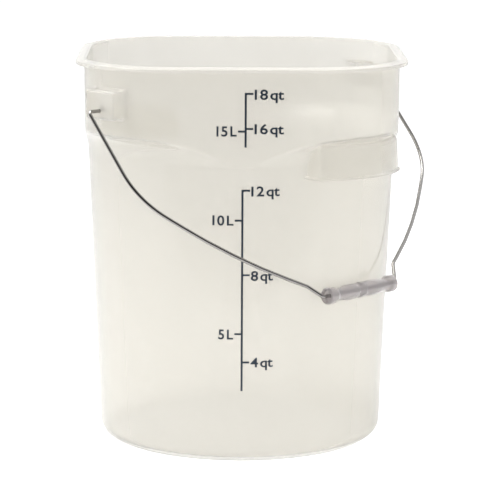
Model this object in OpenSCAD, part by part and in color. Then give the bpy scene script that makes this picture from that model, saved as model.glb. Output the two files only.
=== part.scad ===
// Dough proofing container: a moulded pail with a round lower body, a square
// upper part with a rolled rim, two finger grips, two bail ears and a wire bail.
// Origin at the middle of the base, +Z up, printed scale towards -Y.

/* [Container] */
// Overall height of the container
height = 340; // [332:1:380]
// Outer radius of the round body at the shoulder
body_r = 134; // [131:0.5:134.5]
// Distance that the upper part's flat sides, under the rim, stand out past the round body
collar_past = 1; // [0:0.1:3]
// Corner radius of the upper part, under the rim
collar_corner = 80.8; // [79:0.2:82]
// Outward draft of the upper part's walls, in degrees
collar_draft = 0.55; // [0.1:0.05:0.9]
// Taper of the round body, in degrees
body_taper = 2.3; // [1.2:0.1:3]
// Height where the round body begins to flare into the shoulder
shoulder_z = 254.5; // [251:0.5:257]
// Radius of the shoulder's hollow curve
shoulder_r = 25; // [24:0.5:27]
// Thickness of the container's walls
wall = 2.2; // [1.8:0.1:2.6]
// Thickness of the container's floor
floor_t = 3; // [2:0.2:6]
// Radius of the rounded edge round the base
base_round = 13; // [9:0.5:18]

/* [Rim] */
// Width that the rim stands out from the wall
rim_out = 7; // [6:0.2:8]
// Height of the rim's turned-down outer edge
rim_drop = 4.6; // [4:0.1:5.4]
// Fall of the rim's top face from its inner to its outer edge
rim_slope = 1.3; // [0.6:0.1:1.6]

/* [Bail ears] */
// Distance that an ear's face stands out from the corner of the wall
ear_out = 12.2; // [10.9:0.1:14.9]
// Width of an ear
ear_w = 34.4; // [32:0.2:36]
// Height of an ear
ear_h = 24.2; // [22:0.2:26]
// Distance from the container's top down to the top of an ear
ear_drop = 21.4; // [20:0.2:23]
// Thickness of an ear's walls
ear_wall = 2; // [1.6:0.1:2.4]
// Radius of the curve between an ear and the wall
ear_blend = 8; // [6:0.5:9]
// Radius of an ear's outer edges
ear_round = 3; // [2.4:0.2:4]
// Height of the bail's axis above the bottom of an ear
pivot_rise = 7.4; // [7:0.1:10]

/* [Finger grips] */
// Width of a finger grip
hood_w = 98; // [90:1:102]
// Height of a finger grip
hood_h = 30; // [27:0.5:37]
// Height of the step between the upper part's lower edge and a finger grip's roof
hood_step = 3.5; // [2:0.1:5]
// Distance that a finger grip's skirt lies inside the upper part's corner
hood_inset = 0.7; // [0.2:0.1:1.4]
// Outward slope of a finger grip's skirt, in degrees
hood_slope = 3; // [1:0.5:4]
// Thickness of a finger grip's walls
hood_wall = 2.2; // [1.6:0.1:2.6]
// Radius of the rounded edge of a finger grip's roof
hood_round = 4.5; // [3:0.5:6]
// Width that the bead on a finger grip's lower edge stands out
hood_bead = 1.7; // [1:0.1:2.4]

/* [Bail] */
// Diameter of the bail's wire
wire_d = 3.2; // [2.8:0.1:3.6]
// Clearance round the wire in the ears and in the grip
wire_play = 0.3; // [0.2:0.05:0.4]
// Distance from an ear's face to the middle of the bail's leg
leg_out = 11.7; // [10:0.1:14]
// Depth of the corner below the bail's straight leg, from the bail's axis
leg_depth = 89.4; // [86:0.2:92]
// Distance from the middle to the bend in the bail's arch
arch_x = 115; // [112:0.5:118]
// Depth of the bend in the bail's arch, from the bail's axis
arch_depth = 157.8; // [155:0.2:160]
// Distance from the grip's middle to the knee beside it
knee_x = 57; // [55:0.5:60]
// Height of the knees above the grip's seat
knee_rise = 15.4; // [14:0.2:17]
// Depth of the grip's seat on the bail, from the bail's axis
seat_depth = 208; // [205:0.5:212]
// Offset of the grip along the bail
seat_shift = -5; // [-7:0.5:0]
// Gap between the grip's middle and the container's wall
lean_gap = 0.8; // [0.4:0.1:3]

/* [Bail grip] */
// Length of the grip
grip_len = 84; // [78:1:86]
// Radius of the grip's end flanges
flange_r = 7.3; // [7:0.1:7.6]
// Radius of the grip at its swellings
swell_r = 6.9; // [6.5:0.1:7.2]
// Depth of the grooves between the swellings
groove_d = 0.9; // [0.4:0.1:1.4]
// Radius of the hollow in each end of the grip
grip_hollow_r = 5.5; // [4:0.1:5.8]
// Depth of the hollow in each end of the grip
grip_hollow_d = 4; // [2:0.5:8]

/* [Printed scale] */
// Thickness of the ink
ink = 0.2; // [0.1:0.05:0.3]
// Width of the printed line
line_w = 1.7; // [1.2:0.1:2.2]
// Length of a mark beside the line
mark_l = 5.5; // [4:0.5:8]
// Thickness of a mark
mark_t = 1.6; // [1:0.1:2]
// Height of the 4 quart mark
four_quart_z = 89.4; // [84:0.2:94]
// Height of the 16 quart mark
sixteen_quart_z = 289; // [286:0.5:292]
// Sideways offset of the lower scale
lower_scale_x = -0.3; // [-3:0.1:3]
// Sideways offset of the upper scale
upper_scale_x = 2.1; // [-4:0.1:4]

/* [Hidden] */
$fn = 96;

plastic = [0.91, 0.90, 0.87];
grip_plastic = [0.72, 0.69, 0.73];
steel = [0.60, 0.61, 0.62];
ink_blue = [0.10, 0.14, 0.19];

// Volumes of a quart and a litre in cubic millimetres
quart = 946353;
litre = 1000000;

// Turns of the two corners with ears and of the two with finger grips
ear_turns = [225, 45];
grip_right_turn = -45;
grip_left_turn = 135;

// Length that a cutting shape runs past what it cuts
past = 40;

// Square upper part: half width and corner radius at a height
collar_w = 2 * (body_r + collar_past);
draft_k = tan(collar_draft);
corner_at = collar_w / 2 - collar_corner;
corner_dist = corner_at * sqrt(2);
function tidy(x) = round(x * 1000) / 1000;
function collar_half(z) = tidy(collar_w / 2 - (height - z) * draft_k);
function collar_r(z) = collar_half(z) - corner_at;

// Round body and the hollow shoulder above it
taper_k = tan(body_taper);
cove_r = body_r + shoulder_r * cos(body_taper);
cove_z = shoulder_z - shoulder_r * sin(body_taper);
collar_low_z = cove_z + shoulder_r;
function body_radius(z) = body_r - (shoulder_z - z) * taper_k;

// Ears
ear_top_z = height - ear_drop;
ear_low_z = ear_top_z - ear_h;
pivot_z = ear_low_z + pivot_rise;
ear_root = corner_dist + collar_r(pivot_z);
ear_face = tidy(ear_root + ear_out);
// Depth that a blend's curve dips into the faces it joins
dip = 0.4;
side_dip = 0.05;
blend_v = tidy(ear_w / 2 + ear_blend - side_dip);
blend_r = tidy(collar_r(pivot_z) + ear_blend - dip);
blend_u = tidy(corner_dist + sqrt(pow(blend_r, 2) - pow(blend_v, 2)));
blend_low_z = ear_low_z - ear_blend + side_dip;
blend_top_z = ear_top_z + ear_blend - side_dip;

// Finger grips, measured from the centre of the corner's curve
hood_top_z = collar_low_z - hood_step;
hood_z = tidy(hood_top_z - hood_h);
hood_r = collar_r(collar_low_z) - hood_inset;
hood_low_r = hood_r + (hood_top_z - hood_round - hood_z) * tan(hood_slope);
bead_h = 2;

// Bail: points are sideways from the middle and down from the bail's axis
wire_r = wire_d / 2;
bore_r = wire_r + wire_play;
leg_x = ear_face + leg_out;
leg_bend = 5;
corner_bend = 68;
knee_bend = 9;
seat_bend = 6;
hook_gap = 2;
hook_bend = 2.6;
hook_x = ear_face - ear_wall - wire_r - hook_gap;
hook_l = pivot_rise - ear_wall - 2 * wire_play;
// Straight parts of the wire lap into its bends, which are a hair thicker
joint_lap = 0.1;
joint_extra = 0.06;
seat_half = grip_len / 2 + 4;
// The wire falls gently from its arch to the knees, also when the grip sits off the middle
arch_fall = 0.6;
knee_right = seat_shift + knee_x;
knee_left = seat_shift - knee_x;
function knee_t(s) = seat_depth - knee_rise - (abs(s) - knee_x) * arch_fall;
// Length of wire on each side of the arch's corner that its bend takes up, and the bend's radius
arch_run = 52.9;
function turn_at(a, b, c) = acos((b - a) * (c - b) / norm(b - a) / norm(c - b));
function arch_bend(s) =
    arch_run / tan(turn_at([leg_x, leg_depth], [arch_x, arch_depth], [abs(s), knee_t(s)]) / 2);
bail_points = [
    [hook_x, -hook_l], [hook_x, 0], [leg_x, 0], [leg_x, leg_depth], [arch_x, arch_depth],
    [knee_right, knee_t(knee_right)], [seat_shift + seat_half, seat_depth],
    [seat_shift - seat_half, seat_depth], [knee_left, knee_t(knee_left)],
    [-arch_x, arch_depth], [-leg_x, leg_depth], [-leg_x, 0], [-hook_x, 0], [-hook_x, -hook_l]];
bail_bends = [0, hook_bend, leg_bend, corner_bend, arch_bend(knee_right), knee_bend, seat_bend,
              seat_bend, knee_bend, arch_bend(knee_left), corner_bend, leg_bend, hook_bend, 0];

// Lean of the bail from the vertical where its grip nears the wall
wall_at_pivot = body_r + (pivot_z - shoulder_z) * taper_k;
bail_lean = asin((swell_r + lean_gap + wall_at_pivot * cos(body_taper)) / seat_depth) - body_taper;

// Grip: half lengths of its parts, from the middle outwards
grip_half = grip_len / 2;
flange_l = 7;
bead_half = 4.5;
groove_w = 3;
neck_w = 5;

// Heights of the marks: the round body's volume gives the lower ones
scale_r = body_radius(0) - wall;
lower_marks = [[4 * quart, 1], [5 * litre, -1], [8 * quart, 1], [10 * litre, -1], [12 * quart, 1]];
upper_marks = [[15 * litre, -1], [16 * quart, 1], [18 * quart, 1]];
collar_area = pow(2 * (collar_half(sixteen_quart_z) - wall), 2)
    - (4 - PI) * pow(collar_r(sixteen_quart_z) - wall, 2);
function cone_height(volume) = (pow(3 * taper_k * volume / PI + pow(scale_r, 3), 1 / 3) - scale_r) / taper_k;
function lower_z(volume) = four_quart_z + cone_height(volume) - cone_height(4 * quart);
function upper_z(volume) = sixteen_quart_z + (volume - 16 * quart) / collar_area;
lower_line = [four_quart_z - 25, lower_z(12 * quart)];
upper_line = [sixteen_quart_z - 15.5, upper_z(18 * quart)];

// Half width of the mouth
mouth_half = collar_half(height) - wall;

// Turns a shape from +X to a corner
module at_corner(turn) {
    rotate([0, 0, turn]) children();
}

// Rounded square solid between two heights, with its half width at each
module square_prism(h0, h1, z0, z1) {
    for (turn = [0, 90])
        rotate([90, 0, turn])
            linear_extrude(height = 2 * corner_at, center = true)
                polygon([[-h0, z0], [h0, z0], [h1, z1], [-h1, z1]]);
    for (turn = [0 : 90 : 270])
        rotate([0, 0, turn]) translate([corner_at, corner_at, 0])
            rotate_extrude(angle = 90)
                polygon([[0, z0], [h0 - corner_at, z0], [h1 - corner_at, z1], [0, z1]]);
}

// Solid of the square upper part between two heights, smaller all round by inset
module square_block(inset, z0, z1) {
    square_prism(collar_half(z0) - inset, collar_half(z1) - inset, z0, z1);
}

// Half section of the round body and its shoulder from low_z up, smaller by
// inset; above the shoulder it runs out past the square part
module body_section(inset, low_z, top_z) {
    edge = base_round - inset;
    edge_r = body_radius(low_z + edge) - inset;
    start_r = body_r - inset * cos(body_taper);
    start_z = shoulder_z - inset * sin(body_taper);
    difference() {
        union() {
            polygon([[0, low_z], [edge_r - edge, low_z], [edge_r - edge, low_z + edge],
                     [edge_r, low_z + edge], [start_r, start_z], [collar_w, start_z],
                     [collar_w, top_z], [0, top_z]]);
            intersection() {
                translate([edge_r - edge, low_z + edge]) circle(edge);
                translate([edge_r - edge, low_z]) square(edge);
            }
        }
        translate([cove_r, cove_z]) circle(shoulder_r + inset + side_dip);
        translate([cove_r, start_z - past]) square([collar_w, past + collar_low_z + inset - start_z]);
    }
}

// Outside of the container without its rim, ears and finger grips
module outside_block() {
    intersection() {
        square_block(0, -1, height - rim_slope - wall);
        rotate_extrude() body_section(0, 0, height + 1);
    }
}

// Inside of the container, open at the top
module inside_block() {
    intersection() {
        square_block(wall, 0, height + 1);
        rotate_extrude() body_section(wall, floor_t, height + 2);
    }
}

// Outline of an ear from its root to its face, with rounded outer corners
function ear_outline(reach, face, low, high, edge) =
    let (arc = [for (i = [0 : 4]) i * 22.5])
    concat([[reach, high], [reach, low]],
           [for (a = arc) [face - edge + edge * sin(a), low + edge - edge * cos(a)]],
           [for (a = arc) [face - edge + edge * cos(a), high - edge + edge * sin(a)]]);

// Plan of an ear with the curves between its sides and the wall
module ear_plan(inset, reach) {
    half = ear_w / 2 - inset;
    polygon(ear_outline(reach, ear_face - inset, -half, half, ear_round - inset));
    difference() {
        translate([reach, -blend_v]) square([blend_u - reach, 2 * blend_v]);
        for (side = [-1, 1])
            translate([blend_u, side * blend_v]) circle(ear_blend + inset);
    }
}

// Side view of an ear
module ear_side(inset, reach) {
    polygon(ear_outline(reach, ear_face - inset, ear_low_z + inset, ear_top_z - inset, ear_round - inset));
}

// Curves above and below an ear, measured from the centre of the corner's curve
module ear_blend_section(inset, reach_r) {
    difference() {
        translate([reach_r, blend_low_z]) square([blend_r - reach_r, blend_top_z - blend_low_z]);
        for (z = [blend_low_z, blend_top_z])
            translate([blend_r, z]) circle(ear_blend + inset);
    }
}

// Solid of an ear, reaching in through the wall, smaller all round by inset
module ear_block(inset, reach) {
    intersection() {
        translate([0, 0, ear_low_z - past]) linear_extrude(height = ear_h + 2 * past) ear_plan(inset, reach);
        union() {
            rotate([90, 0, 0]) linear_extrude(height = 2 * past, center = true) ear_side(inset, reach);
            translate([corner_dist, 0, 0]) rotate([0, 0, -30])
                rotate_extrude(angle = 60) ear_blend_section(inset, reach - corner_dist);
        }
    }
}

// Section of the rim, measured from the centre of the corner's curve
module rim_section() {
    in_r = collar_corner - wall;
    lip_r = collar_corner + rim_out;
    under_z = height - rim_slope - wall;
    low_z = height - rim_drop;
    lip_t = wall * 0.85;
    soft = wall * 0.35;
    polygon([[in_r - soft, low_z], [in_r - soft, height], [in_r + soft, height],
             [lip_r - soft, height - rim_slope], [lip_r, height - rim_slope - soft], [lip_r, low_z],
             [lip_r - lip_t, low_z], [lip_r - lip_t, under_z], [collar_corner + soft, under_z],
             [collar_corner - dip, under_z - soft - dip], [collar_corner - dip, low_z]]);
}

// Rolled rim round the mouth
module rim() {
    for (turn = [0 : 90 : 270])
        rotate([0, 0, turn]) translate([corner_at, corner_at, 0]) {
            rotate_extrude(angle = 90) rim_section();
            rotate([90, 0, 0]) linear_extrude(height = 2 * corner_at) rim_section();
        }
}

module container() {
    color(plastic) difference() {
        union() {
            outside_block();
            rim();
            for (turn = ear_turns)
                at_corner(turn) ear_block(0, ear_root - past / 2);
        }
        inside_block();
        // Bevel round the inner edge of the mouth
        square_prism(mouth_half - 0.5, mouth_half + wall / 2, height - wall / 2, height + 0.5);
        for (turn = ear_turns)
            at_corner(turn) {
                ear_block(ear_wall, ear_root - past);
                translate([ear_root, 0, pivot_z]) rotate([0, 90, 0]) cylinder(h = past, r = bore_r);
            }
    }
}

// Section of a finger grip's roof, skirt and bead; solid inwards when filled
module hood_section(filled) {
    roof_r = hood_r - hood_round;
    edge_z = hood_top_z - hood_round;
    in_round = hood_round - hood_wall;
    low_in_r = filled ? 0 : hood_low_r - hood_wall;
    edge_in_r = filled ? 0 : hood_r - hood_wall;
    polygon([[low_in_r, hood_z], [hood_low_r + hood_bead, hood_z],
             [hood_low_r + hood_bead, hood_z + bead_h], [hood_low_r, hood_z + bead_h + 0.6],
             [hood_r, edge_z], [edge_in_r, edge_z]]);
    difference() {
        union() {
            translate([roof_r, edge_z]) circle(hood_round);
            translate([0, edge_z]) square([roof_r, hood_round]);
        }
        if (!filled) {
            translate([roof_r, edge_z]) circle(in_round);
            translate([0, edge_z]) square([roof_r, in_round]);
        }
        translate([0, edge_z - past]) square([hood_r + past, past]);
    }
}

// Finger grip hanging from a corner: a curved skirt, a roof and two end walls
module finger_grip(turn) {
    half = hood_w / 2;
    color(plastic) difference() {
        at_corner(turn) {
            intersection() {
                translate([corner_dist, 0, 0]) rotate([0, 0, -60]) rotate_extrude(angle = 120) hood_section(false);
                translate([corner_dist, -half, hood_z]) cube([past + hood_r, hood_w, past]);
            }
            intersection() {
                translate([corner_dist, 0, 0]) rotate([0, 0, -60]) rotate_extrude(angle = 120) hood_section(true);
                for (v = [-half, half - hood_wall])
                    translate([corner_dist, v, hood_z]) cube([past + hood_r, hood_wall, past]);
            }
        }
        outside_block();
    }
}

module finger_grip_right() {
    finger_grip(grip_right_turn);
}

module finger_grip_left() {
    finger_grip(grip_left_turn);
}

// Bent rod along points in the XY plane, with a bend radius at each point
module bent_rod(points, bends, r) {
    count = len(points);
    steps = [for (i = [0 : count - 2]) points[i + 1] - points[i]];
    ways = [for (step = steps) step / norm(step)];
    // Signed turn at each point and the length that its bend takes off
    turns = [for (i = [0 : count - 1]) (i == 0 || i == count - 1) ? 0 :
             atan2(ways[i - 1][0] * ways[i][1] - ways[i - 1][1] * ways[i][0], ways[i - 1] * ways[i])];
    cuts = [for (i = [0 : count - 1]) bends[i] * tan(abs(turns[i]) / 2)];
    for (i = [0 : count - 2]) {
        from = points[i] + ways[i] * (cuts[i] - joint_lap);
        long = norm(steps[i]) - cuts[i] - cuts[i + 1] + 2 * joint_lap;
        translate([from[0], from[1], 0]) rotate([0, 0, atan2(ways[i][1], ways[i][0])])
            rotate([0, 90, 0]) cylinder(h = long, r = r);
    }
    for (i = [1 : count - 2]) {
        from = points[i] - ways[i - 1] * cuts[i];
        side = sign(turns[i]);
        middle = from + [-ways[i - 1][1], ways[i - 1][0]] * side * bends[i];
        heading = atan2(ways[i - 1][1], ways[i - 1][0]);
        translate([middle[0], middle[1], 0])
            rotate([0, 0, side > 0 ? heading - 90 : heading + 90 + turns[i]])
                rotate_extrude(angle = abs(turns[i])) translate([bends[i], 0]) circle(r + joint_extra);
    }
}

// Carries a shape from the bail's plane to its place at rest: X runs towards
// the front left ear, Y runs down the bail from its axis
module in_bail_plane() {
    translate([0, 0, pivot_z]) rotate([0, 0, 225]) rotate([90 + bail_lean, 0, 0])
        mirror([0, 1, 0]) children();
}

module bail() {
    color(steel) in_bail_plane() bent_rod(bail_points, bail_bends, wire_r);
}

// Half outline of the grip from its middle to its end, as [along, radius]
function grip_outline() =
    let (groove_r = swell_r - groove_d, neck_r = groove_r - 0.2,
         lobe_start = bead_half + groove_w, lobe_end = grip_half - flange_l - neck_w)
    [[0, swell_r], [bead_half - 1, swell_r - 0.1], [bead_half, groove_r + 0.3], [bead_half + 1, groove_r],
     [lobe_start - 1, groove_r], [lobe_start, groove_r + 0.4], [lobe_start + 4, swell_r - 0.1],
     [(lobe_start + lobe_end) / 2, swell_r], [lobe_end - 4, swell_r - 0.1], [lobe_end, groove_r + 0.4],
     [lobe_end + 1, neck_r], [grip_half - flange_l, neck_r], [grip_half - flange_l + 1.5, flange_r - 0.3],
     [grip_half - flange_l + 3, flange_r], [grip_half - 0.5, flange_r], [grip_half, flange_r - 0.5]];

module bail_grip() {
    outline = grip_outline();
    color(grip_plastic)
        in_bail_plane() translate([seat_shift, seat_depth, 0]) rotate([0, 90, 0])
            difference() {
                for (side = [0, 1])
                    mirror([0, 0, side]) rotate_extrude()
                        polygon(concat([for (p = outline) [p[1], p[0]]], [[0, grip_half], [0, 0]]));
                cylinder(h = 2 * grip_len, r = bore_r, center = true);
                for (side = [0, 1])
                    mirror([0, 0, side]) translate([0, 0, grip_half - grip_hollow_d])
                        cylinder(h = past, r = grip_hollow_r);
            }
}

// A line with its marks, drawn flat as seen from the front
module marks_flat(ends, heights, sides) {
    translate([-line_w / 2, ends[0]]) square([line_w, ends[1] + mark_t / 2 - ends[0]]);
    for (i = [0 : len(heights) - 1])
        translate([sides[i] > 0 ? 0 : -mark_l - line_w / 2, heights[i] - mark_t / 2])
            square([mark_l + line_w / 2, mark_t]);
}

// Printed scale: a thin skin of ink on the front of the container
module volume_scale() {
    color(ink_blue) {
        intersection() {
            translate([upper_scale_x, 0, 0]) rotate([90, 0, 0]) linear_extrude(height = collar_w)
                marks_flat(upper_line, [for (m = upper_marks) upper_z(m[0])], [for (m = upper_marks) m[1]]);
            rotate([90, 0, -90]) linear_extrude(height = 2 * corner_at, center = true)
                polygon([[collar_half(collar_low_z), collar_low_z - past], [collar_half(height), height],
                         [collar_half(height) + ink, height], [collar_half(collar_low_z) + ink, collar_low_z - past]]);
        }
        intersection() {
            translate([lower_scale_x, 0, 0]) rotate([90, 0, 0]) linear_extrude(height = collar_w)
                marks_flat(lower_line, [for (m = lower_marks) lower_z(m[0])], [for (m = lower_marks) m[1]]);
            rotate([0, 0, -100]) rotate_extrude(angle = 20)
                polygon([[body_radius(base_round), base_round], [body_r, shoulder_z],
                         [body_r + ink, shoulder_z], [body_radius(base_round) + ink, base_round]]);
        }
    }
}

container();
finger_grip_right();
finger_grip_left();
bail();
bail_grip();
volume_scale();
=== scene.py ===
import math
import bmesh
import bpy
from mathutils import Matrix, Vector


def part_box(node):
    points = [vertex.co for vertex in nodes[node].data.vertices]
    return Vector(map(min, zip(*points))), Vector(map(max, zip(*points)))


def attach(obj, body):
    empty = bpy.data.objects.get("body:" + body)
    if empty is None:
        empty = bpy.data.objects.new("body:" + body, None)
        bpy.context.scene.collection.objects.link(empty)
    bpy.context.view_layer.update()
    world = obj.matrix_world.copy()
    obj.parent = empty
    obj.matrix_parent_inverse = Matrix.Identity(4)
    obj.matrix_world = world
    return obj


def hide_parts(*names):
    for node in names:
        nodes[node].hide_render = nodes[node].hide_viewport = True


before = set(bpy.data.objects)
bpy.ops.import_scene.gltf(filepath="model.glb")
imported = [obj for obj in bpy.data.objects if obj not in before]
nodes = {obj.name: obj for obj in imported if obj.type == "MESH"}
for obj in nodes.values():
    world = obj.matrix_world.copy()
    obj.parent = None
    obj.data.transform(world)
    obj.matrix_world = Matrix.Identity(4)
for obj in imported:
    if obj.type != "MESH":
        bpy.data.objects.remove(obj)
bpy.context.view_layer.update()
containerLow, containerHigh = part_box("container")
topZ = containerHigh[2]
halfWidth = containerHigh[0]


# Small helpers for node trees
def newMaterial(name):
    mat = bpy.data.materials.new(name)
    mat.use_nodes = True
    tree = mat.node_tree
    return mat, tree, tree.nodes["Principled BSDF"]


def addNode(tree, kind, settings=None, **inputs):
    node = tree.nodes.new(kind)
    for key, value in (settings or {}).items():
        setattr(node, key, value)
    for key, value in inputs.items():
        node.inputs[key.replace("_", " ")].default_value = value
    return node


def plainSockets(shader, values):
    for name, value in values.items():
        shader.inputs[name].default_value = value


# Node group: soft unevenness of a moulded or drawn surface, as a colour, a roughness mask and a height
def makeSurfaceGroup():
    group = bpy.data.node_groups.new("mouldedSurface", "ShaderNodeTree")
    face = group.interface
    for name, kind, start in (("Light Tone", "NodeSocketColor", (0.9, 0.9, 0.88, 1)),
                              ("Dark Tone", "NodeSocketColor", (0.85, 0.84, 0.82, 1)),
                              ("Cloud Size", "NodeSocketFloat", 12.0),
                              ("Grain Size", "NodeSocketFloat", 900.0),
                              ("Rough Low", "NodeSocketFloat", 0.3),
                              ("Rough High", "NodeSocketFloat", 0.42)):
        socket = face.new_socket(name=name, in_out="INPUT", socket_type=kind)
        socket.default_value = start
    for name, kind in (("Colour", "NodeSocketColor"), ("Roughness", "NodeSocketFloat"),
                       ("Height", "NodeSocketFloat")):
        face.new_socket(name=name, in_out="OUTPUT", socket_type=kind)
    inside = addNode(group, "NodeGroupInput")
    out = addNode(group, "NodeGroupOutput")
    place = addNode(group, "ShaderNodeTexCoord")
    cloud = addNode(group, "ShaderNodeTexNoise", Detail=3.0, Roughness=0.55)
    grain = addNode(group, "ShaderNodeTexNoise", Detail=2.0, Roughness=0.5)
    mix = addNode(group, "ShaderNodeMix", {"data_type": "RGBA"})
    rough = addNode(group, "ShaderNodeMapRange")
    link = group.links.new
    link(place.outputs["Object"], cloud.inputs["Vector"])
    link(place.outputs["Object"], grain.inputs["Vector"])
    link(inside.outputs["Cloud Size"], cloud.inputs["Scale"])
    link(inside.outputs["Grain Size"], grain.inputs["Scale"])
    link(cloud.outputs["Fac"], mix.inputs["Factor"])
    link(inside.outputs["Dark Tone"], mix.inputs["A"])
    link(inside.outputs["Light Tone"], mix.inputs["B"])
    link(grain.outputs["Fac"], rough.inputs["Value"])
    link(inside.outputs["Rough Low"], rough.inputs["To Min"])
    link(inside.outputs["Rough High"], rough.inputs["To Max"])
    link(mix.outputs["Result"], out.inputs["Colour"])
    link(rough.outputs["Result"], out.inputs["Roughness"])
    link(grain.outputs["Fac"], out.inputs["Height"])
    return group


surfaceGroup = makeSurfaceGroup()


def addSurface(tree, shader, look):
    group = addNode(tree, "ShaderNodeGroup", {"node_tree": surfaceGroup})
    plainSockets(group, look["surface"])
    bump = addNode(tree, "ShaderNodeBump", Strength=look["bump"], Distance=look["bumpDepth"])
    tree.links.new(group.outputs["Colour"], shader.inputs["Base Color"])
    tree.links.new(group.outputs["Roughness"], shader.inputs["Roughness"])
    tree.links.new(group.outputs["Height"], bump.inputs["Height"])
    tree.links.new(bump.outputs["Normal"], shader.inputs["Normal"])


# Milky polypropylene of the container
plasticLook = {
    "surface": {"Light Tone": (0.948, 0.933, 0.892, 1), "Dark Tone": (0.933, 0.917, 0.873, 1),
                "Cloud Size": 9.0, "Grain Size": 1400.0, "Rough Low": 0.22, "Rough High": 0.25},
    "bump": 0.05, "bumpDepth": 0.0003,
    "plain": {"IOR": 1.13, "Transmission Weight": 0.73, "Coat Weight": 0.4, "Coat Roughness": 0.06},
}
# Thin greyer plastic of the grip
gripLook = {
    "surface": {"Light Tone": (0.74, 0.70, 0.70, 1), "Dark Tone": (0.69, 0.65, 0.65, 1),
                "Cloud Size": 40.0, "Grain Size": 1600.0, "Rough Low": 0.16, "Rough High": 0.24},
    "bump": 0.08, "bumpDepth": 0.0002,
    "plain": {"IOR": 1.35, "Transmission Weight": 0.65, "Coat Weight": 0.8, "Coat Roughness": 0.08},
}
# Drawn steel wire: its tone is darker than real steel, as painted shade for the dark room it mirrors
wireLookPaintedDark = {
    "surface": {"Light Tone": (0.38, 0.37, 0.36, 1), "Dark Tone": (0.32, 0.31, 0.30, 1),
                "Cloud Size": 60.0, "Grain Size": 2600.0, "Rough Low": 0.07, "Rough High": 0.12},
    "bump": 0.12, "bumpDepth": 0.0001,
    "plain": {"Metallic": 1.0},
}
# Screen-printed ink
inkLook = {
    "surface": {"Light Tone": (0.030, 0.048, 0.075, 1), "Dark Tone": (0.020, 0.034, 0.055, 1),
                "Cloud Size": 200.0, "Grain Size": 3000.0, "Rough Low": 0.4, "Rough High": 0.55},
    "bump": 0.1, "bumpDepth": 0.0001,
    "plain": {},
}


def makeFinish(name, look):
    mat, tree, shader = newMaterial(name)
    plainSockets(shader, look["plain"])
    addSurface(tree, shader, look)
    return mat


milkyPlastic = makeFinish("milkyPlastic", plasticLook)
gripPlastic = makeFinish("gripPlastic", gripLook)
# The wire's darkened steel tone is painted shade, standing in for the dark room it mirrors
wirePaintedDark = makeFinish("wirePaintedDark", wireLookPaintedDark)
scaleInk = makeFinish("scaleInk", inkLook)
print("materials made")


def dress(nodeName, mat):
    obj = nodes[nodeName]
    for entry in obj.material_slots:
        entry.material = mat
    if not obj.material_slots:
        obj.data.materials.append(mat)


for nodeName in ("container", "finger_grip_right", "finger_grip_left"):
    dress(nodeName, milkyPlastic)
dress("bail", wirePaintedDark)
dress("bail_grip", gripPlastic)
dress("volume_scale", scaleInk)


# Helpers for making pieces as by hand
def deselectAll():
    if bpy.context.mode != "OBJECT":
        bpy.ops.object.mode_set(mode="OBJECT")
    bpy.ops.object.select_all(action="DESELECT")


def pick(obj):
    deselectAll()
    obj.select_set(True)
    bpy.context.view_layer.objects.active = obj


def settle(obj):
    pick(obj)
    bpy.ops.object.transform_apply(location=True, rotation=True, scale=True)


def applyModifier(obj, kind, **values):
    mod = obj.modifiers.new(kind.lower(), kind)
    for key, value in values.items():
        setattr(mod, key, value)
    pick(obj)
    bpy.ops.object.modifier_apply(modifier=mod.name)


def mergeAndFace(obj):
    pick(obj)
    bpy.ops.object.mode_set(mode="EDIT")
    bpy.ops.mesh.select_all(action="SELECT")
    bpy.ops.mesh.remove_doubles(threshold=0.00001)
    bpy.ops.mesh.normals_make_consistent(inside=False)
    bpy.ops.object.mode_set(mode="OBJECT")


def finishPiece(obj, name, mat, body, smoothAngle=35):
    pick(obj)
    bpy.ops.object.shade_smooth_by_angle(angle=math.radians(smoothAngle))
    obj.name = name
    obj.data.materials.clear()
    obj.data.materials.append(mat)
    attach(obj, body)


# Container moulding in metres and degrees: the frame's own sizes, with softened edges
mouldShape = {
    "columns": 256, "height": 0.34, "half": 0.135, "cornerAt": 0.0542, "draft": 0.55, "wall": 0.0022,
    "floor": 0.0045, "innerRound": 0.0065, "bodyR": 0.134, "taper": 2.3, "shoulderZ": 0.2545, "shoulderR": 0.025, "baseRound": 0.013,
    "creaseSoft": 0.0025, "underRim": 0.3365, "centreR": 0.02,
    "rim": ((0.0006, 0.3363), (0.0012, 0.3365), (0.0040, 0.3365), (0.0049, 0.3363), (0.00513, 0.3358),
            (0.00528, 0.3355), (0.0056, 0.3354), (0.0065, 0.3354), (0.0069, 0.33555), (0.0070, 0.3359),
            (0.0070, 0.3376), (0.00685, 0.3382), (0.0064, 0.33865), (0.0045, 0.33905), (0.0020, 0.33955),
            (0.0000, 0.33995), (-0.0008, 0.34)),
    "mouth": ((-0.0022, 0.3375), (-0.0022, 0.3386), (-0.00208, 0.3392), (-0.00172, 0.33965), (-0.0012, 0.3399),
              (-0.0006, 0.3403), (-0.0005, 0.345)),
}


# Distance from the axis to the side of a rounded square, whose corners' centres stay put
def squareReach(angle, half):
    turn = math.radians(abs((math.degrees(angle) + 45) % 90 - 45))
    centre = mouldShape["cornerAt"]
    if half * math.tan(turn) <= centre:
        return half / math.cos(turn)
    along = centre * (math.cos(turn) + math.sin(turn))
    return along + math.sqrt(along ** 2 - 2 * centre ** 2 + (half - centre) ** 2)


def wallHalf(z):
    return mouldShape["half"] - (mouldShape["height"] - z) * math.tan(math.radians(mouldShape["draft"]))


def bodyReach(z):
    return mouldShape["bodyR"] - (mouldShape["shoulderZ"] - z) * math.tan(math.radians(mouldShape["taper"]))


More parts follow.
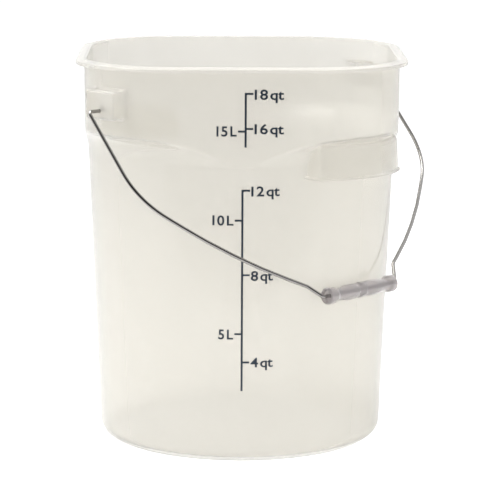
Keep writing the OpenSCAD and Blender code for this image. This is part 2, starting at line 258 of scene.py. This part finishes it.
# One upright section of the outer or inner surface at an angle: the same rows at every angle
def mouldSection(angle, inset, lowZ):
    shape = mouldShape
    taper = math.radians(shape["taper"])
    coveR = shape["bodyR"] + shape["shoulderR"] * math.cos(taper)
    coveZ = shape["shoulderZ"] - shape["shoulderR"] * math.sin(taper)
    hollow = shape["shoulderR"] + inset

    def covePoint(phi):
        return coveR - hollow * math.cos(phi), coveZ + hollow * math.sin(phi)

    low, high = taper, math.pi / 2
    for step in range(40):
        phi = (low + high) / 2
        r, z = covePoint(phi)
        low, high = (phi, high) if r < squareReach(angle, wallHalf(z) - inset) else (low, phi)
    crease = covePoint(phi)
    soft = min(shape["creaseSoft"] - inset / 2, (phi - taper) * hollow / 2)
    phiEnd = phi - soft / hollow
    wallZ = crease[1] + soft

    def wallPoint(z):
        return squareReach(angle, wallHalf(z) - inset), z

    edge = shape["innerRound"] if inset else shape["baseRound"]
    edgeR = bodyReach(lowZ + edge) - inset
    rows = [(shape["centreR"], lowZ), (0.06, lowZ), (0.095, lowZ)]
    for i in range(9):
        turn = math.pi / 2 * i / 8
        rows.append((edgeR - edge + edge * math.sin(turn), lowZ + edge - edge * math.cos(turn)))
    start = covePoint(taper)
    for i in range(1, 13):
        rows.append(tuple(a + (b - a) * i / 12 for a, b in zip((edgeR, lowZ + edge), start)))
    rows += [covePoint(taper + (phiEnd - taper) * i / 12) for i in range(1, 13)]
    before, after = covePoint(phiEnd), wallPoint(wallZ)
    for t in (0.2, 0.4, 0.6, 0.8):
        rows.append(tuple(a * (1 - t) ** 2 + 2 * b * t * (1 - t) + c * t * t
                          for a, b, c in zip(before, crease, after)))
    topZ = shape["underRim"] - 0.0008 if inset == 0 else shape["mouth"][0][1] - 0.001
    rows += [wallPoint(wallZ + (topZ - wallZ) * i / 8) for i in range(9)]
    finish = shape["rim"] if inset == 0 else shape["mouth"]
    rows += [(squareReach(angle, shape["half"] + out), z) for out, z in finish]
    return rows


# A disc drawn out ring by ring into a closed solid
def drawRings(name, inset, lowZ):
    columns = mouldShape["columns"]
    step = 2 * math.pi / columns
    table = [mouldSection(i * step, inset, lowZ) for i in range(columns)]
    deselectAll()
    bpy.ops.mesh.primitive_circle_add(vertices=columns, radius=mouldShape["centreR"], fill_type="TRIFAN",
                                      location=(0, 0, lowZ))
    obj = bpy.context.object
    obj.name = name
    settle(obj)
    bpy.ops.object.mode_set(mode="EDIT")
    mesh = bmesh.from_edit_mesh(obj.data)
    for edge in mesh.edges:
        edge.select = edge.is_boundary
    mesh.select_flush_mode()
    for row in range(1, len(table[0]) + 1):
        bpy.ops.mesh.extrude_edges_indiv()
        mesh = bmesh.from_edit_mesh(obj.data)
        for vertex in [v for v in mesh.verts if v.select]:
            column = round(math.atan2(vertex.co.y, vertex.co.x) / step) % columns
            if row < len(table[0]):
                r, z = table[column][row]
            else:
                r, z = 0.02, table[column][-1][1]
            vertex.co = (r * math.cos(column * step), r * math.sin(column * step), z)
        bmesh.update_edit_mesh(obj.data)
    bpy.ops.mesh.edge_face_add()
    bpy.ops.object.mode_set(mode="OBJECT")
    mergeAndFace(obj)
    return obj


# A block drawn out of a flat plate in steps of (distance out, half width, half height)
def drawBlock(name, steps, corner):
    first = steps[0]
    deselectAll()
    bpy.ops.mesh.primitive_plane_add(size=2, location=(0, 0, first[0]))
    obj = bpy.context.object
    obj.name = name
    obj.scale = (first[1], first[2], 1)
    settle(obj)
    bpy.ops.object.mode_set(mode="EDIT")
    bpy.ops.mesh.select_all(action="SELECT")
    bpy.ops.mesh.bevel(offset=corner, segments=4, affect="VERTICES")
    bpy.ops.mesh.select_all(action="SELECT")
    for before, here in zip(steps, steps[1:]):
        bpy.ops.mesh.extrude_region_move(TRANSFORM_OT_translate={"value": (0, 0, here[0] - before[0])})
        bpy.ops.transform.resize(value=(here[1] / before[1], here[2] / before[2], 1), center_override=(0, 0, 0))
    bpy.ops.object.mode_set(mode="OBJECT")
    return obj


# Bail ears: distances are from the corner of the wall outwards
earShape = {"turns": (225, 45), "reach": 0.15708, "out": 0.0122, "halfWide": 0.0172, "halfHigh": 0.0121,
            "middleZ": 0.3065, "wall": 0.002, "blend": 0.0035, "round": 0.0024, "corner": 0.0028, "sink": 0.0002,
            "cornerR": 0.08043, "columns": 9, "pinZ": 0.3018, "pinR": 0.0019}


def earSteps(inset):
    shape = earShape
    blend, sink = shape["blend"] + inset, shape["sink"] + inset
    away = [-sink + (blend * (1 - math.cos(math.pi / 2 * i / 8))) for i in range(9)]
    steps = [(-0.006 - inset, 0, 0)] + [(d, 0, 0) for d in away]
    steps = [(d, shape["halfWide"] - inset + grow, shape["halfHigh"] - inset + grow)
             for (d, wide, high), grow in zip(steps, [blend] + [blend * (1 - math.sin(math.pi / 2 * i / 8))
                                                                for i in range(9)])]
    edge = shape["round"] - inset
    face = shape["out"] - inset
    for i in range(5):
        turn = math.pi / 8 * i
        steps.append((face - edge + edge * math.sin(turn),
                      shape["halfWide"] - inset - edge + edge * math.cos(turn),
                      shape["halfHigh"] - inset - edge + edge * math.cos(turn)))
    return steps


def makeEar(inset, turn):
    shape = earShape
    obj = drawBlock("ear", earSteps(inset), shape["corner"])
    applyModifier(obj, "SUBSURF", levels=2, render_levels=2, subdivision_type="SIMPLE")
    for vertex in obj.data.vertices:
        x, y, z = vertex.co
        follow = max(0, min(1, 1 - z / (shape["out"] - shape["round"])))
        sag = shape["cornerR"] - math.sqrt(shape["cornerR"] ** 2 - x * x)
        vertex.co.z = z - sag * follow
    angle = math.radians(turn)
    out = Vector((math.cos(angle), math.sin(angle), 0))
    up = Vector((0, 0, 1))
    basis = Matrix((up.cross(out), up, out)).transposed()
    obj.matrix_world = Matrix.Translation(out * shape["reach"] + up * shape["middleZ"]) @ basis.to_4x4()
    settle(obj)
    mergeAndFace(obj)
    return obj


# Finger grips: distances are from the centre of the corner's curve
hoodShape = {"turns": (-45, 135), "centre": 0.07665, "half": 0.049, "low": 0.245, "top": 0.275, "roof": 0.283,
             "reach": 0.07951, "slope": 3.0, "wall": 0.0022, "round": 0.0045, "endRound": 0.0045, "inner": 0.04,
             "bead": ((0, 0.55), (0.0003, 0.85), (0.0008, 1), (0.0017, 1), (0.0022, 0.85), (0.0025, 0.4), (0.0028, 0)),
             "beadOut": 0.0017, "cornerPoints": 9, "frontPoints": 45}


# Outline of a hood seen from above, with rounded ends, moved outwards by a distance
def hoodOutline(out, slopeOut):
    shape = hoodShape
    reach, half = shape["reach"] + out + slopeOut, shape["half"] + out
    edge = max(0.0012, shape["endRound"] + out)
    away = math.sqrt((reach - edge) ** 2 - (half - edge) ** 2)
    turnIn = math.atan2(half - edge, away)
    side = []
    for i in range(shape["cornerPoints"]):
        turn = math.pi / 2 + (turnIn - math.pi / 2) * i / (shape["cornerPoints"] - 1)
        side.append((away + edge * math.cos(turn), half - edge + edge * math.sin(turn)))
    front = []
    for i in range(1, shape["frontPoints"]):
        turn = turnIn * (1 - 2 * i / shape["frontPoints"])
        front.append((reach * math.cos(turn), reach * math.sin(turn)))
    return [(shape["inner"], half)] + side + front + [(x, -y) for x, y in reversed(side)] + [(shape["inner"], -half)]


# Rows from the free edge up to the roof: height, distance out, and how far the slope has gone
def hoodRows(inset):
    shape = hoodShape
    edgeZ = shape["top"] - shape["round"]
    slope = math.tan(math.radians(shape["slope"]))
    if inset:
        rows = [(shape["low"] - 0.004, -inset, (edgeZ - shape["low"] + 0.004) * slope)]
    else:
        rows = [(shape["low"] + up, shape["beadOut"] * part, (edgeZ - shape["low"] - up) * slope)
                for up, part in shape["bead"]]
    rows += [(edgeZ - rise, -inset, rise * slope) for rise in (0.015, 0.008, 0.003)]
    edge = shape["round"] - inset
    for i in range(8):
        turn = math.pi / 16 * i
        rows.append((edgeZ + edge * math.sin(turn), -inset - edge + edge * math.cos(turn), 0))
    return rows + [(shape["roof"] - inset, -inset - edge, 0)]


# A flat outline drawn up row by row into a closed solid
def drawHood(inset):
    rows = hoodRows(inset)
    outline = hoodOutline(rows[0][1], rows[0][2])
    deselectAll()
    bpy.ops.mesh.primitive_circle_add(vertices=len(outline), radius=0.01, fill_type="NGON")
    obj = bpy.context.object
    obj.name = "hood"
    for vertex, (x, y) in zip(obj.data.vertices, outline):
        vertex.co = (x, y, rows[0][0])
    bpy.ops.object.mode_set(mode="EDIT")
    bpy.ops.mesh.select_all(action="SELECT")
    for z, out, slopeOut in rows[1:]:
        bpy.ops.mesh.extrude_region_move()
        before, outline = outline, hoodOutline(out, slopeOut)
        mesh = bmesh.from_edit_mesh(obj.data)
        for vertex in [v for v in mesh.verts if v.select]:
            spot = vertex.co.x, vertex.co.y
            nearest = min(range(len(before)), key=lambda i: math.dist(before[i], spot))
            vertex.co = (*outline[nearest], z)
        bmesh.update_edit_mesh(obj.data)
    bpy.ops.object.mode_set(mode="OBJECT")
    mergeAndFace(obj)
    return obj


def makeHood(turn):
    obj = drawHood(0)
    cutWith(obj, drawHood(hoodShape["wall"]), "DIFFERENCE")
    obj.matrix_world = (Matrix.Rotation(math.radians(turn), 4, "Z")
                        @ Matrix.Translation((hoodShape["centre"], 0, 0)))
    settle(obj)
    return obj


def cutWith(obj, tool, operation, selfCross=False):
    applyModifier(obj, "BOOLEAN", object=tool, operation=operation, solver="EXACT", use_self=selfCross)
    bpy.data.objects.remove(tool)


def joinAll(objs):
    deselectAll()
    for obj in objs:
        obj.select_set(True)
    bpy.context.view_layer.objects.active = objs[0]
    bpy.ops.object.join()
    return bpy.context.object


def makeMoulding():
    shape = mouldShape
    obj = drawRings("moulding", 0, 0)
    inside = drawRings("inside", shape["wall"], shape["floor"])
    fittings = joinAll([makeEar(0, turn) for turn in earShape["turns"]]
                       + [makeHood(turn) for turn in hoodShape["turns"]])
    cutWith(obj, fittings, "UNION")
    cutWith(obj, inside, "DIFFERENCE")
    cutWith(obj, joinAll([makeEar(earShape["wall"], turn) for turn in earShape["turns"]]), "DIFFERENCE")
    for turn in earShape["turns"]:
        deselectAll()
        bpy.ops.mesh.primitive_cylinder_add(vertices=24, radius=earShape["pinR"], depth=0.02,
                                            rotation=(0, math.pi / 2, math.radians(turn)))
        pin = bpy.context.object
        out = earShape["reach"] + earShape["out"]
        pin.location = (out * math.cos(math.radians(turn)), out * math.sin(math.radians(turn)), earShape["pinZ"])
        settle(pin)
        cutWith(obj, pin, "DIFFERENCE")
    finishPiece(obj, "moulding", milkyPlastic, "pail", 28)
    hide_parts("container", "finger_grip_right", "finger_grip_left")
    mesh = bmesh.new()
    mesh.from_mesh(obj.data)
    print("moulding volume", round(mesh.calc_volume(signed=True) * 1e9), "open edges",
          sum(1 for e in mesh.edges if not e.is_manifold), "faces", len(mesh.faces))
    mesh.free()


makeMoulding()
print("moulding made")

# Bail wire: metres sideways from the middle, metres down from the bail's axis, radius of the bend
wirePath = {
    "radius": 0.0016, "axisHeight": 0.3018, "lean": 41.319, "arcStep": 4.0, "ribs": 6,
    "points": ((0.16368, -0.0048, 0), (0.16368, 0, 0.0026), (0.18098, 0, 0.0037), (0.18098, 0.0894, 0.068),
               (0.115, 0.1578, 0.4), (0.052, 0.1956, 0.009), (0.041, 0.208, 0.006), (-0.051, 0.208, 0.006),
               (-0.062, 0.1896, 0.009), (-0.115, 0.1578, 0.4), (-0.18098, 0.0894, 0.068), (-0.18098, 0, 0.0037),
               (-0.16368, 0, 0.0026), (-0.16368, -0.0048, 0)),
}


# Turns the bail's own plane to its place at rest: X towards the front left ear, Y down the bail
def bailPlane():
    lean = math.radians(wirePath["lean"])
    across = Vector((-math.sqrt(0.5), -math.sqrt(0.5), 0))
    down = Vector((math.sqrt(0.5) * math.sin(lean), -math.sqrt(0.5) * math.sin(lean), -math.cos(lean)))
    turn = Matrix((across, down, across.cross(down))).transposed()
    return Matrix.Translation((0, 0, wirePath["axisHeight"])) @ turn.to_4x4()


def roundedPath(points):
    way = [Vector(points[0][:2])]
    for before, here, after in zip(points, points[1:], points[2:]):
        at = Vector(here[:2])
        come = (at - Vector(before[:2])).normalized()
        leave = (Vector(after[:2]) - at).normalized()
        turn = come.angle_signed(leave)
        reach = here[2] * math.tan(abs(turn) / 2)
        side = Vector((come.y, -come.x)) * (1 if turn > 0 else -1)
        middle = at - come * reach + side * here[2]
        count = max(2, round(math.degrees(abs(turn)) / wirePath["arcStep"]))
        start = at - come * reach - middle
        for i in range(count + 1):
            step = start.copy()
            step.rotate(Matrix.Rotation(-turn * i / count, 2))
            way.append(middle + step)
    way.append(Vector(points[-1][:2]))
    return way


def makeWire():
    way = roundedPath(wirePath["points"])
    data = bpy.data.curves.new("bailWire", "CURVE")
    data.dimensions = "3D"
    data.bevel_depth = wirePath["radius"]
    data.bevel_resolution = wirePath["ribs"]
    data.use_fill_caps = True
    line = data.splines.new("POLY")
    line.points.add(len(way) - 1)
    for point, spot in zip(line.points, way):
        point.co = (spot.x, spot.y, 0, 1)
    obj = bpy.data.objects.new("bailWire", data)
    bpy.context.collection.objects.link(obj)
    pick(obj)
    bpy.ops.object.convert(target="MESH")
    obj = bpy.context.object
    obj.matrix_world = bailPlane()
    settle(obj)
    mergeAndFace(obj)
    finishPiece(obj, "bailWire", wirePaintedDark, "bail", 60)
    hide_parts("bail")


makeWire()
print("bail wire made")

# Grip: a moulded sleeve with two swellings, a bead between them, end flanges and hollow ends, in metres
gripShape = {
    "half": 0.042, "seat": 0.208, "shift": -0.005, "bore": 0.0019, "hollow": 0.0055, "hollowDepth": 0.004,
    "steps": 64, "fine": 0.0006,
    "outline": ((0, 0.0069), (0.0024, 0.0068), (0.0040, 0.0062), (0.0050, 0.0058), (0.0060, 0.0061),
                (0.0095, 0.0068), (0.0145, 0.0070), (0.0190, 0.0067), (0.0240, 0.0060), (0.0272, 0.0056),
                (0.0300, 0.0057), (0.0320, 0.0063), (0.0340, 0.0070), (0.0370, 0.0073), (0.0402, 0.0073),
                (0.0413, 0.0071), (0.0418, 0.0067)),
}


# Smooth curve through an outline's points
def smoothLine(points, fine):
    padded = [points[0]] + list(points) + [points[-1]]
    line = []
    for a, b, c, d in zip(padded, padded[1:], padded[2:], padded[3:]):
        count = max(1, round((c[0] - b[0]) / fine))
        for i in range(count):
            t = i / count
            line.append(tuple(0.5 * (2 * b[k] + (c[k] - a[k]) * t + (2 * a[k] - 5 * b[k] + 4 * c[k] - d[k]) * t * t
                                     + (3 * b[k] - 3 * c[k] + d[k] - a[k]) * t ** 3) for k in (0, 1)))
    return line + [points[-1]]


def makeGrip():
    shape = gripShape
    half = smoothLine(shape["outline"], shape["fine"])
    end = shape["half"]
    inner = [(end, shape["hollow"] + 0.0009), (end, shape["hollow"] + 0.0003), (end - 0.0004, shape["hollow"]),
             (end - shape["hollowDepth"] + 0.0004, shape["hollow"] - 0.0001),
             (end - shape["hollowDepth"], shape["hollow"] - 0.0006), (end - shape["hollowDepth"], shape["bore"])]
    side = half[1:] + inner
    section = [(-x, r) for x, r in reversed(side)] + [half[0]] + side
    deselectAll()
    bpy.ops.mesh.primitive_circle_add(vertices=len(section), radius=0.01)
    obj = bpy.context.object
    for vertex, (x, r) in zip(obj.data.vertices, section):
        vertex.co = (x, r, 0)
    bpy.ops.object.mode_set(mode="EDIT")
    bpy.ops.mesh.select_all(action="SELECT")
    bpy.ops.mesh.spin(steps=shape["steps"], angle=2 * math.pi, center=(0, 0, 0), axis=(1, 0, 0))
    bpy.ops.object.mode_set(mode="OBJECT")
    mergeAndFace(obj)
    obj.matrix_world = bailPlane() @ Matrix.Translation((shape["shift"], shape["seat"], 0))
    settle(obj)
    finishPiece(obj, "gripSleeve", gripPlastic, "grip", 40)
    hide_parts("bail_grip")


makeGrip()
print("grip made")

# Volume words printed beside the scale's marks, in metres: each has its words, height, side and width
printLook = {
    "capHeight": 0.0083, "gap": 0.0010, "inkLift": 0.0002, "inkThickness": 0.0001, "start": -0.2,
    "lineHalf": 0.00085, "markReach": 0.0055, "heavier": 0.018, "wordGap": 0.45, "letterGap": 0.98,
    "upper": {"line": 0.0021, "marks": (("18 qt", 0.3177, 1, 0.0243), ("16 qt", 0.289, 1, 0.0243),
                                        ("15 L", 0.287, -1, 0.0168))},
    "lower": {"line": -0.0003, "marks": (("12 qt", 0.2365, 1, 0.0238), ("10 L", 0.2117, -1, 0.0176),
                                         ("8 qt", 0.1644, 1, 0.0186), ("5 L", 0.1137, -1, 0.0125),
                                         ("4 qt", 0.0894, 1, 0.0190))},
}


def printWord(words, lineX, markZ, side, width):
    look = printLook
    deselectAll()
    bpy.ops.object.text_add(location=(0, 0, 0), rotation=(math.radians(90), 0, 0))
    obj = bpy.context.object
    obj.data.body = words
    obj.data.resolution_u = 6
    obj.data.offset = look["heavier"]
    obj.data.space_word = look["wordGap"]
    obj.data.space_character = look["letterGap"]
    bpy.ops.object.convert(target="MESH")
    obj = bpy.context.object
    settle(obj)
    points = [v.co for v in obj.data.vertices]
    tall = look["capHeight"] / max(p.z for p in points)
    low, high = min(p.x for p in points), max(p.x for p in points)
    wide = width / (high - low)
    reach = look["lineHalf"] + look["markReach"] + look["gap"]
    shift = lineX + reach - low * wide if side > 0 else lineX - reach - high * wide
    obj.scale = (wide, 1, tall)
    obj.location = (shift, look["start"], markZ - look["capHeight"] / 2)
    settle(obj)
    applyModifier(obj, "SHRINKWRAP", target=nodes["container"], wrap_method="PROJECT", use_project_y=True,
                  use_positive_direction=True, offset=look["inkLift"])
    applyModifier(obj, "SOLIDIFY", thickness=look["inkThickness"], offset=0)
    finishPiece(obj, "word_" + words.replace(" ", "_"), scaleInk, "pail", 30)


for part in ("upper", "lower"):
    for words, markZ, side, width in printLook[part]["marks"]:
        printWord(words, printLook[part]["line"], markZ, side, width)
print("scale printed")

# Camera at the photograph's viewing angle, in metres and degrees
viewPoint = {"place": (-0.0296, -2.2598, 0.5736), "heading": 0.964, "down": 10.303, "roll": 0.27, "lens": 186.37}


def makeCamera():
    heading, down, roll = (math.radians(viewPoint[k]) for k in ("heading", "down", "roll"))
    ahead = Vector((math.sin(heading) * math.cos(down), math.cos(heading) * math.cos(down), -math.sin(down)))
    level = Vector((math.cos(heading), -math.sin(heading), 0))
    above = level.cross(ahead)
    right = math.cos(roll) * level + math.sin(roll) * above
    up = -math.sin(roll) * level + math.cos(roll) * above
    data = bpy.data.cameras.new("camera")
    data.lens = viewPoint["lens"]
    data.sensor_width = 36
    data.clip_end = 60
    camera = bpy.data.objects.new("camera", data)
    bpy.context.collection.objects.link(camera)
    turn = Matrix((right, up, -ahead)).transposed()
    camera.matrix_world = Matrix.Translation(viewPoint["place"]) @ turn.to_4x4()
    bpy.context.scene.camera = camera


makeCamera()

# Floor, lamps and the white backdrop; the room in front of the object is dark, as seen in the wire
studio = {"floorSize": 24.0, "floorFront": 0.6, "floorTone": 0.80, "worldTone": 0.5,
          "floorGlow": {"camera": 0.62, "mirror": 0.5, "through": 0.48},
          "backdrop": 1.0, "roomMirror": 0.03, "roomThrough": 1.0, "roomFrom": -0.75, "roomTo": 0.15}
lamps = {
    "key": {"place": (-1.8, -0.7, 1.3), "size": 1.0, "power": 9, "mirrored": False},
    "fill": {"place": (2.0, -1.6, 0.6), "size": 1.2, "power": 7, "mirrored": False},
    "top": {"place": (-0.4, 0.2, 1.5), "size": 0.8, "power": 15, "mirrored": True},
}


# Strength by the kind of ray: plain light, seen by the camera, mirrored, or seen through the plastic
def strengthByRay(tree, plain, camera, mirror, through):
    path = addNode(tree, "ShaderNodeLightPath")
    last = None
    for ray, value in (("Is Camera Ray", camera), ("Is Glossy Ray", mirror), ("Is Transmission Ray", through)):
        mix = addNode(tree, "ShaderNodeMix", {"data_type": "FLOAT"})
        tree.links.new(path.outputs[ray], mix.inputs["Factor"])
        if last:
            tree.links.new(last.outputs["Result"], mix.inputs["A"])
        else:
            mix.inputs["A"].default_value = plain
        if isinstance(value, float):
            mix.inputs["B"].default_value = value
        else:
            tree.links.new(value, mix.inputs["B"])
        last = mix
    return last.outputs["Result"]


def makeFloor():
    size = studio["floorSize"]
    deselectAll()
    bpy.ops.mesh.primitive_plane_add(size=size, location=(0, size / 2 - studio["floorFront"], 0))
    floor = bpy.context.object
    floor.name = "floor"
    mat, tree, shader = newMaterial("floorPaint")
    tone = studio["floorTone"]
    plainSockets(shader, {"Base Color": (tone, tone, tone, 1), "Roughness": 0.9})
    glow = addNode(tree, "ShaderNodeEmission", Color=(1, 1, 1, 1))
    total = addNode(tree, "ShaderNodeAddShader")
    tree.links.new(strengthByRay(tree, 0.0, **studio["floorGlow"]), glow.inputs["Strength"])
    tree.links.new(shader.outputs[0], total.inputs[0])
    tree.links.new(glow.outputs[0], total.inputs[1])
    tree.links.new(total.outputs[0], tree.nodes["Material Output"].inputs["Surface"])
    floor.data.materials.append(mat)


def makeLamps():
    for name, lamp in lamps.items():
        data = bpy.data.lights.new(name, "AREA")
        data.size = lamp["size"]
        data.energy = lamp["power"]
        obj = bpy.data.objects.new(name, data)
        obj.visible_glossy = lamp["mirrored"]
        bpy.context.collection.objects.link(obj)
        obj.location = lamp["place"]
        aim = Vector((0, 0, topZ / 2)) - obj.location
        obj.rotation_euler = aim.to_track_quat("-Z", "Y").to_euler()


def makeAir():
    world = bpy.data.worlds.new("studioAir")
    bpy.context.scene.world = world
    world.use_nodes = True
    tree = world.node_tree
    air = tree.nodes["Background"]
    air.inputs["Color"].default_value = (1, 1, 1, 1)
    place = addNode(tree, "ShaderNodeTexCoord")
    parts = addNode(tree, "ShaderNodeSeparateXYZ")
    tree.links.new(place.outputs["Generated"], parts.inputs[0])
    tones = []
    for room in ("roomMirror", "roomThrough"):
        fade = addNode(tree, "ShaderNodeMapRange", {"interpolation_type": "SMOOTHSTEP"})
        plainSockets(fade, {"From Min": studio["roomFrom"], "From Max": studio["roomTo"], "To Min": studio[room],
                            "To Max": studio["backdrop"]})
        tree.links.new(parts.outputs["Y"], fade.inputs["Value"])
        tones.append(fade.outputs["Result"])
    strength = strengthByRay(tree, studio["worldTone"], 1.0, *tones)
    tree.links.new(strength, air.inputs["Strength"])


makeFloor()
makeLamps()
makeAir()
scene = bpy.context.scene
scene.view_settings.view_transform = "Standard"
scene.cycles.max_bounces = 32  # light crosses up to eight faces of clear plastic
scene.cycles.glossy_bounces = 24
scene.cycles.transmission_bounces = 24
print("studio made")
